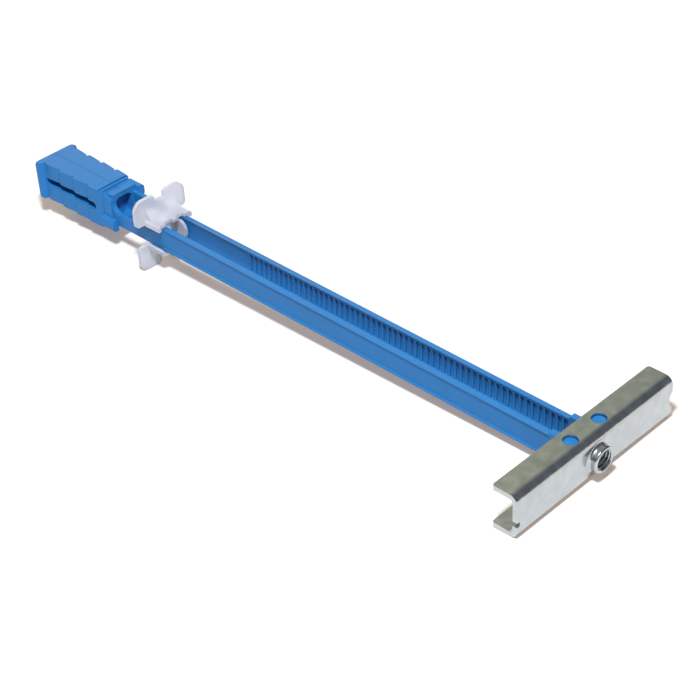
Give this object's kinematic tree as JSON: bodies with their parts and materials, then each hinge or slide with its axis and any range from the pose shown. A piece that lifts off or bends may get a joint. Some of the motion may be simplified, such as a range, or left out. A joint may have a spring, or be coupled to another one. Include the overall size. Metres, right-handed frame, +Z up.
{
  "type": "strap toggle anchor",
  "caption": "Strap toggle anchor: steel channel with a threaded collar on two ratchet straps joined to a split grip, with an eared wall cap that slides along the straps.",
  "frame": {"origin": "middle of the threaded hole, on the inner face of the channel's web", "axes": "+X from the grip into the wall, +Y along the channel to the left strap, +Z up, along the hinge pins"},
  "size_m": [0.1661, 0.0476, 0.0182],
  "materials": {
    "zinc_plated_steel": "zinc plated, satin",
    "blue_plastic": "moulded, satin",
    "natural_plastic": "translucent, moulded"
  },
  "bodies": {
    "left": {"left_strap": "blue_plastic"},
    "channel": {"toggle_channel": "zinc_plated_steel"},
    "right": {"right_strap": "blue_plastic"},
    "cap": {"wall_cap": "natural_plastic"}
  },
  "joints": [
    {"name": "fold", "type": "hinge", "parent": "left", "child": "channel", "pos_m": [-0.00214, 0.00438, 0], "axis": [0, 0, 1], "range_deg": [0, 90]},
    {"name": "strap_slide", "type": "slide", "parent": "left", "child": "right", "axis": [1, 0, 0], "range_m": [0, 0.00877]},
    {"name": "cap_slide", "type": "slide", "parent": "left", "child": "cap", "axis": [1, 0, 0], "range_m": [0, 0.095]}
  ],
  "couplings": [
    {"joint": "strap_slide", "follows": "fold", "m_per_rad": 0.0055768}
  ]
}
